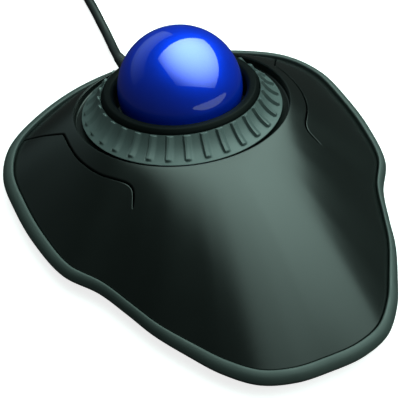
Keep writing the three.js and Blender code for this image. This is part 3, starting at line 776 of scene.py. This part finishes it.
def rounded_section(points, radius, steps=4):
    """Closed section with its corners rounded."""
    out = []
    count = len(points)
    for i in range(count):
        before, here, after = (np.array(points[(i + j) % count], float) for j in (-1, 0, 1))
        a, b = before - here, after - here
        reach = min(radius, np.linalg.norm(a) * 0.45, np.linalg.norm(b) * 0.45)
        start, end = here + a / np.linalg.norm(a) * reach, here + b / np.linalg.norm(b) * reach
        for s in np.linspace(0, 1, steps + 1):
            out.append(start * (1 - s) ** 2 + here * 2 * s * (1 - s) + end * s ** 2)
    return out


def make_ball():
    shaped = bmesh.new()
    bmesh.ops.create_cube(shaped, size=2)
    bmesh.ops.subdivide_edges(shaped, edges=shaped.edges[:], cuts=47, use_grid_fill=True)
    for vertex in shaped.verts:
        # Even spacing on the sphere: the cube's coordinates are bent by a tangent first.
        bent = Vector([math.tan(c * math.pi / 4) for c in vertex.co])
        vertex.co = bent.normalized() * BALL_R * MM + BALL_CENTRE
    mesh = bpy.data.meshes.new("ball_polished")
    shaped.to_mesh(mesh)
    shaped.free()
    mesh.polygons.foreach_set("use_smooth", [True] * len(mesh.polygons))
    stand_for(make_object("ball_polished", mesh, BALL_LOOK), "ball", "ball")


def make_collar():
    angle = np.linspace(0, 2 * math.pi, 192, endpoint=False)
    rows = [ring_points(radius, angle, height) for radius, height in rounded_section(COLLAR, 0.5)]
    collar = loft("collar", rows, COLLAR_LOOK, closed=True)
    sharpen(collar, 30)
    stand_for(collar, "retaining_collar", "base")


def make_scroll_ring():
    """Ring whose hollow outer band carries the ribs: each rises gently on one side, drops steeply on the
    other and has a groove at its foot, and the band is plain above and below them."""
    angle = np.linspace(0, 2 * math.pi, RIBS * 36, endpoint=False)
    phase = (angle * RIBS / (2 * math.pi) + RIB_SHIFT) % 1 - 0.5
    rows = []
    for t in np.linspace(0, BAND_END, 72):
        hollow = BAND_HOLLOW * math.sin(math.pi * t)
        radius = BAND_R + BAND_WIDER * t - hollow
        height = BAND_H + BAND_LOWER * t - hollow
        half = RIB_HALF_WIDTH / (2 * math.pi * radius / RIBS)     # as a share of the ribs' pitch
        rise = smooth_step(phase, -half * 3.2, -half * 0.3)
        across = rise * (1 - smooth_step(phase, half * 0.8, half * 1.1))
        along = smooth_step(t, 0.02, 0.06) * (1 - smooth_step(t, 0.76, 0.86))
        groove = np.exp(-((phase - 1.35 * half) / (0.32 * half)) ** 2)
        lift = (RIB_LIFT * across - GROOVE_DEPTH * groove) * along * 0.707    # outwards, and as far up
        rows.append(ring_points(radius + lift, angle, height + lift))
    rows += [ring_points(radius, angle, height) for radius, height in SKIRT]
    ring = loft("ribbed_ring", rows, RING_LOOK, closed=True)
    sharpen(ring, 50)
    stand_for(ring, "scroll_ring", "scroll_ring")


# ---------------------------------------------------------------- cord, boot and plug

CABLE_D = 3.2
CORD_ROUTE = [                # from the boot to the coil's first turn
    (0, 79.5, 3.9), (0.15, 81, 3.6), (0.5, 83, 3.15), (0.85, 85.4, 2.7), (1.3, 88, 2.3), (1.7, 90.7, 2.0),
    (2.1, 93.5, 1.8), (2.45, 96.7, 1.7), (2.75, 100, 1.65), (3.1, 103.5, 1.65), (3.4, 107, 1.65),
    (3.65, 111, 1.65), (3.9, 115, 1.65), (4.0, 120, 1.7), (4.1, 126, 1.8), (4.1, 132, 2.0),
]
CORD_TAIL = [                 # from the coil's last turn over its top to the plug
    (10.8, 153.9, 15.9), (13.0, 155.6, 16.2), (15.4, 156.7, 16.5), (18.1, 157.4, 16.9), (20.8, 157.5, 17.2),
    (23.4, 157.3, 17.45), (25.8, 156.7, 17.6), (29.6, 154.95, 17.65), (30.4, 154.5, 17.65),
]
COIL_X, COIL_Y = 27.0, 138.0
COLUMNS = (22.9, 19.65, 16.4, 13.15)          # radii of the turns in a layer
LAYERS = (2.1, 5.3, 8.5, 11.7)                # heights of the layers
STEP_ARC, FIRST_STEP = 40, 310                # degrees that a turn takes to step over, and its start
WINDING, CLIMB, CLIMB_RATE = 5412, 5382, 0.09     # degrees wound, where it starts to climb, mm per degree
TIE_X, TIE_HALF_WIDTH, TIE_THICK = 27.4, 1.9, 0.35
PLUG_X, PLUG_Y, PLUG_Z, PLUG_HEADING = 30.0, 154.7, 17.65, math.radians(-30)
OVERMOULD = [                 # distance along the plug, half width, half height, squareness
    (-0.2, 1.9, 1.9, 2), (0.0, 2.3, 2.3, 2), (1.6, 2.5, 2.5, 2), (2.0, 3.4, 2.9, 2.6),
    (2.8, 5.6, 3.4, 3.2), (4.2, 6.7, 3.7, 4), (6, 6.9, 3.6, 4.5), (7, 6.85, 3.45, 4.5),
    (7.6, 6.85, 3.7, 4.5), (8.4, 6.85, 3.45, 4.5), (9.0, 6.9, 3.7, 4.5), (9.8, 6.9, 3.45, 4.5),
    (10.4, 6.95, 3.7, 4.5), (11.2, 7.0, 3.45, 4.5), (12, 7.2, 3.75, 4.8), (14, 7.6, 3.95, 5),
    (17, 7.7, 4.0, 5), (19.3, 7.7, 4.0, 5), (19.8, 7.55, 3.85, 5), (20.0, 7.2, 3.5, 5),
]
SHELL_WIDTH, SHELL_HEIGHT = 12, 4.5
SHELL_ROWS = [                # distance along the plug, and growth outwards: a thin lip that turns inside
    (20.0, 0), (20.6, 0), (32.1, 0), (32.3, -0.08), (32.35, -0.2), (32.3, -0.3), (32.0, -0.4), (21.0, -0.4),
]


def coil_route():
    """Centre line of the winding: layers wound in, out, in and out, each turn stepping over to the
    next column in the same short arc, and each new layer starting one arc earlier."""
    steps, at = [], FIRST_STEP
    for layer, z in enumerate(LAYERS):
        columns = COLUMNS if layer % 2 == 0 else COLUMNS[::-1]
        if layer:
            steps.append((at, columns[0], z))
            at += 360 - STEP_ARC
        for radius in columns[1:]:
            steps.append((at, radius, z))
            at += 360
        at -= STEP_ARC
    out = []
    for degrees in np.arange(0, WINDING, 18.0):
        radius, z = COLUMNS[0], LAYERS[0]
        for begin, next_radius, next_z in steps:
            share = float(smooth_step(degrees, begin, begin + STEP_ARC))
            radius += (next_radius - radius) * share
            z += (next_z - z) * share
        z += max(0, degrees - CLIMB) * CLIMB_RATE
        turn = math.radians(180 - degrees)
        out.append((COIL_X + radius * math.cos(turn), COIL_Y + radius * math.sin(turn), z))
    return out


def make_cord():
    route = CORD_ROUTE + coil_route() + CORD_TAIL
    curve = bpy.data.curves.new("cord", "CURVE")
    curve.dimensions = "3D"
    curve.bevel_depth = CABLE_D / 2 * MM
    curve.bevel_resolution = 6
    curve.resolution_u = 6
    spline = curve.splines.new("BEZIER")
    spline.bezier_points.add(len(route) - 1)
    for point, place in zip(spline.bezier_points, route):
        point.co = Vector(place) * MM
        point.handle_left_type = point.handle_right_type = "AUTO"
    cord = bpy.data.objects.new("cord", curve)
    bpy.context.collection.objects.link(cord)
    curve.materials.append(CABLE_LOOK)
    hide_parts("cable", "cable_tail", "cable_coil")
    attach(cord, "base")
    return cord


def make_boot():
    """Tapered strain relief with shallow rings, leaving the wall level and drooping to the desk."""
    y = np.linspace(64.9, 79.8, 150)
    z = 5.5 - 1.75 * smooth_step(y, 68, 83)
    radius = np.interp(y, [64.9, 66, 66.2, 70.2, 70.5, 72.0, 72.3, 79.4, 79.8],
                       [2.4, 2.4, 1.9, 1.9, 2.7, 2.7, 2.5, 1.85, 1.7])
    first_groove, last_groove, pitch, depth = 73, 78.2, 1.3, 0.25
    groove = depth * (0.5 - 0.5 * np.cos((y - first_groove) * 2 * math.pi / pitch)) ** 3
    radius = radius - np.where((y > first_groove) & (y < last_groove), groove, 0)
    tangent = np.gradient(np.stack([y, z], axis=1), axis=0)
    tangent /= np.linalg.norm(tangent, axis=1)[:, None]
    angle = np.linspace(0, 2 * math.pi, 48, endpoint=False)
    rows = []
    for along, height, (level, climb), reach in zip(y, z, tangent, radius):
        across, up = reach * np.cos(angle), reach * np.sin(angle)
        rows.append(np.stack([across, along - up * climb, height + up * level], axis=1))
    boot = loft("strain_relief", rows, BOOT_LOOK, capped=True)
    sharpen(boot, 50)
    stand_for(boot, "cable_strain_relief", "base")


def plug_points(along, across, up):
    """Points along, across and above the plug's axis, in the part's frame."""
    x = PLUG_X + along * math.cos(PLUG_HEADING) - across * math.sin(PLUG_HEADING)
    y = PLUG_Y + along * math.sin(PLUG_HEADING) + across * math.cos(PLUG_HEADING)
    return np.stack([x, y, PLUG_Z + up + 0 * x], axis=1)


def squircle(half_width, half_height, power, count=64):
    angle = np.linspace(0, 2 * math.pi, count, endpoint=False)
    c, s = np.cos(angle), np.sin(angle)
    return np.stack([half_width * np.sign(c) * np.abs(c) ** (2 / power),
                     half_height * np.sign(s) * np.abs(s) ** (2 / power)], axis=1)


def make_overmould():
    """The plug's short neck and waisted, ribbed grip."""
    rows = [plug_points(along, *squircle(*section).T) for along, *section in OVERMOULD]
    body = loft("plug_overmould", rows, BOOT_LOOK, capped=True)
    finer = body.modifiers.new("smooth", "SUBSURF")
    finer.levels = finer.render_levels = 1
    stand_for(body, "usb_overmold", "base")
    return body


def make_shell():
    """The plug's plated shell, open at its front."""
    rows = []
    for along, grow in SHELL_ROWS:
        section = rounded_rect(0, 0, SHELL_WIDTH + 2 * grow, SHELL_HEIGHT + 2 * grow, 0.7 + grow * 0.5, 6)
        rows.append(plug_points(along, *section.T))
    shell = loft("plug_shell", rows, PLUG_LOOK, capped=True)
    sharpen(shell, 35)
    stand_for(shell, "usb_shell", "base")
    return shell


def make_window_shade(side, across):
    """One of the two square windows in the shell's upper face, drawn as a dark patch over the shell, not as a
    hole: painted shade for the opening, in the inner plastic's colour.
    """
    window = rounded_rect(27.2, across, 2.4, 2.2, 0.15, 3)
    rows = [plug_points(*window.T, height) for height in (2.27, 2.0)]
    # Painted shade: a dark slab stands where the window's opening is.
    patch = loft(f"plug_window_shade_{side}", rows, INNER_LOOK, capped=True)
    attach(patch, "base")
    return patch


def make_tie():
    """Band round the coil's section."""
    near, far, low, high = 10.7, 25.05, 0.06, 13.75
    middle, width, height = ((near + far) / 2, (low + high) / 2), far - near, high - low
    outer = rounded_rect(*middle, width, height, 1.2, 8)
    inner = rounded_rect(*middle, width - 2 * TIE_THICK, height - 2 * TIE_THICK, 0.9, 8)
    rows = []
    for loop, aside in ((outer, 1), (outer, -1), (inner, -1), (inner, 1)):
        radial, up = loop.T
        rows.append(np.stack([TIE_X + aside * TIE_HALF_WIDTH + 0 * radial, COIL_Y - radial, up], axis=1))
    band = loft("coil_band", rows, INNER_LOOK, closed=True)
    soft = band.modifiers.new("edge", "BEVEL")
    soft.width, soft.segments, soft.limit_method = 0.12 * MM, 2, "ANGLE"
    stand_for(band, "coil_tie", "base")
    return band


# ---------------------------------------------------------------- feet and label

FEET = {"rear_left": (-43, 38), "rear_right": (43, 38), "front_left": (-16, -53), "front_right": (16, -53)}


def pad(name, loop, low, high, bevel, look, node_name):
    """Flat piece with a bevelled lower edge."""
    middle = loop.mean(0)
    away = loop - middle
    reach = np.linalg.norm(away, axis=1)[:, None]
    rows = [raised(loop, high)]
    for shrink, z in ((0.0, low + bevel), (bevel * 0.3, low + bevel * 0.3), (bevel, low)):
        rows.append(raised(middle + away * (1 - shrink / reach), z))
    thing = loft(name, rows, look, capped=True)
    sharpen(thing, 35)
    stand_for(thing, node_name, "base")


def make_feet():
    for name, (x, y) in FEET.items():
        pad(f"pad_{name}", rounded_rect(x, y, 14, 7, 3.2, 10), 0, 1.5, 0.3, RUBBER_LOOK,
            f"foot_{name}")


def make_label():
    pad("blank_label", rounded_rect(0, LABEL_Y, LABEL_WIDTH, LABEL_DEPTH, 1.7, 8), 0.8, LABEL_TOP, 0.05,
        LABEL_LOOK, "rating_label")


# ---------------------------------------------------------------- floor and lights

def make_floor():
    """Near-white floor that gives off some light for the camera, and stays out of reflections."""
    mesh = bpy.data.meshes.new("floor")
    shaped = bmesh.new()
    bmesh.ops.create_grid(shaped, x_segments=8, y_segments=8, size=4)
    shaped.to_mesh(mesh)
    shaped.free()
    look, tree, surface = shader("floor_paper")
    faint = noise(tree, 6, 2)
    tree.links.new(two_colours(tree, faint.outputs["Fac"], (0.66, 0.66, 0.66), (0.68, 0.68, 0.68)),
                   surface.inputs["Base Color"])
    surface.inputs["Roughness"].default_value = 0.95
    surface.inputs["Specular IOR Level"].default_value = 0.1
    surface.inputs["Emission Color"].default_value = (1, 1, 1, 1)
    surface.inputs["Emission Strength"].default_value = 0.8
    floor = make_object("floor", mesh, look)
    floor.visible_glossy = floor.visible_diffuse = False


def softbox(name, place, target, across, size, power, colour, shape="RECTANGLE"):
    """Area light that faces a target, with its width along the direction across."""
    data = bpy.data.lights.new(name, "AREA")
    data.shape = shape
    data.size, data.size_y = size
    data.energy = power
    data.color = colour
    lamp = bpy.data.objects.new(name, data)
    bpy.context.collection.objects.link(lamp)
    out = (place - target).normalized()
    side = Vector(across)
    side = (side - out * side.dot(out)).normalized()
    lamp.matrix_world = Matrix.Translation(place) @ Matrix((side, out.cross(side), out)).transposed().to_4x4()
    lamp.visible_camera = False
    return data


def calculate(tree, kind, operation, *values):
    """Math or vector math node, fed by sockets and plain values."""
    made = tree.nodes.new(kind)
    made.operation = operation
    for socket, value in zip(made.inputs, values):
        if isinstance(value, bpy.types.NodeSocket):
            tree.links.new(value, socket)
        else:
            socket.default_value = value
    return made.outputs


def hot_spot(data, middle, spread, strength):
    """Make a softbox brightest at one place, as the lamp behind its cloth does, and dimmer away from it."""
    data.use_nodes = True
    tree = data.node_tree
    place = tree.nodes.new("ShaderNodeNewGeometry").outputs["Parametric"]
    away = calculate(tree, "ShaderNodeVectorMath", "SUBTRACT", place, (*middle, 0))[0]
    away = calculate(tree, "ShaderNodeVectorMath", "MULTIPLY", away, (1 / spread[0], 1 / spread[1], 0))[0]
    squared = calculate(tree, "ShaderNodeVectorMath", "DOT_PRODUCT", away, away)["Value"]
    fall = calculate(tree, "ShaderNodeMath", "POWER", math.exp(-1), squared)[0]
    level = calculate(tree, "ShaderNodeMath", "MULTIPLY", fall, strength)[0]
    tree.links.new(level, tree.nodes["Emission"].inputs["Strength"])


def make_lights():
    """A large key softbox overhead, a low card and a dim wall, with their places in metres."""
    key = BALL_CENTRE + Vector((0.177, -0.129, 1.146))
    data = softbox("key", key, key - Vector((0.45, 0, 0.89)), across=(0.89, 0, -0.45), size=(2.53, 2.37),
                   power=69, colour=(0.69, 1.0, 0.9))
    hot_spot(data, middle=(0.64, 0.75), spread=(0.43, 0.54), strength=1.3)
    # The card's reflection is the pale crescent at the foot of the ball.
    softbox("card", BALL_CENTRE + Vector((0.33, -0.61, -0.01)), BALL_CENTRE, across=(0.87, 0.5, -0.17),
            size=(0.9, 0.16), power=0.17, colour=(0.85, 1.0, 0.8), shape="ELLIPSE")
    # The wall's reflection is the lighter patch on the rear left of the ball.
    data = softbox("wall", BALL_CENTRE + Vector((-0.31, 0.69, 0.2)), BALL_CENTRE, across=(0.91, 0.41, 0),
                   size=(1.27, 0.46), power=0.42, colour=(0.66, 0.95, 0.93))
    hot_spot(data, middle=(0.85, 0.5), spread=(0.52, 0.7), strength=1.7)


def make_world():
    world = bpy.data.worlds.new("studio")
    world.use_nodes = True
    background = world.node_tree.nodes["Background"]
    background.inputs["Color"].default_value = (1, 1, 1, 1)
    background.inputs["Strength"].default_value = 0.025
    bpy.context.scene.world = world
    bpy.context.scene.view_settings.view_transform = "Standard"


# ---------------------------------------------------------------- build

make_camera()
cord = make_cord()
make_boot()
plug = [make_overmould(), make_shell(), make_window_shade("right", -3.1), make_window_shade("left", 3.1)]
tie = make_tie()
dress_cad_nodes()
make_tray()
make_cover()
make_scroll_ring()
make_collar()
make_ball()
make_feet()
make_label()
make_floor()
make_lights()
make_world()
